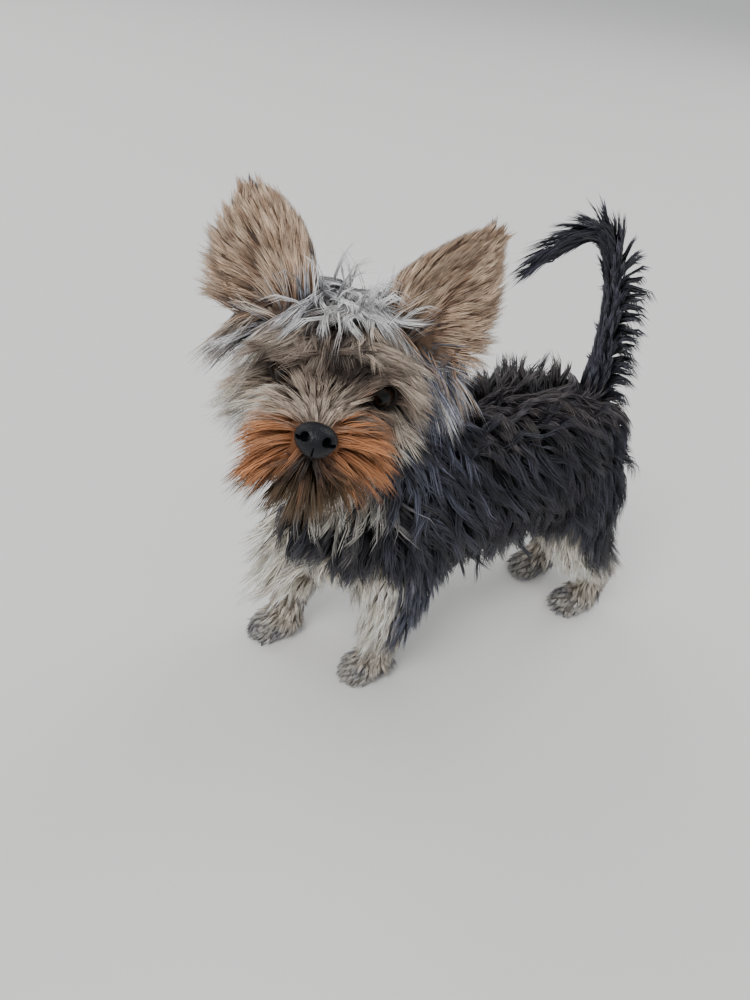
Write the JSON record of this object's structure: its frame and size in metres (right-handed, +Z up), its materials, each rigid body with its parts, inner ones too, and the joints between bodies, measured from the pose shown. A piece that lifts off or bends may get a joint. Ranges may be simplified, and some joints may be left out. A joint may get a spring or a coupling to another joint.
{
  "type": "yorkshire terrier",
  "caption": "Life-size standing Yorkshire terrier puppy with raised ears, turned head, shaggy coat and a tail curled over the back; a still display model",
  "frame": {"origin": "centre of the model's box, on the floor under its paws", "axes": "+X is the dog's left, +Y points to its tail, -Y the way the body faces, +Z is up"},
  "size_m": [0.105, 0.2434, 0.2509],
  "materials": {
    "black_coat": "long black hair",
    "silver_coat": "long silver-grey hair",
    "tan_coat": "short tan hair",
    "cream_coat": "long cream hair",
    "eye": "glossy dark eye",
    "nose_leather": "moist dark nose pad"
  },
  "bodies": {
    "root": {"head": "silver_coat", "nose": "nose_leather", "eye_left": "eye", "eye_right": "eye", "ear_left": "tan_coat", "ear_right": "tan_coat", "neck": "black_coat", "torso": "black_coat", "front_left_leg": "cream_coat", "front_right_leg": "cream_coat", "hind_left_leg": "cream_coat", "hind_left_foot": "cream_coat", "hind_right_leg": "cream_coat", "hind_right_foot": "cream_coat", "tail_base": "black_coat", "tail_middle": "black_coat", "tail_tip": "black_coat"}
  },
  "joints": []
}
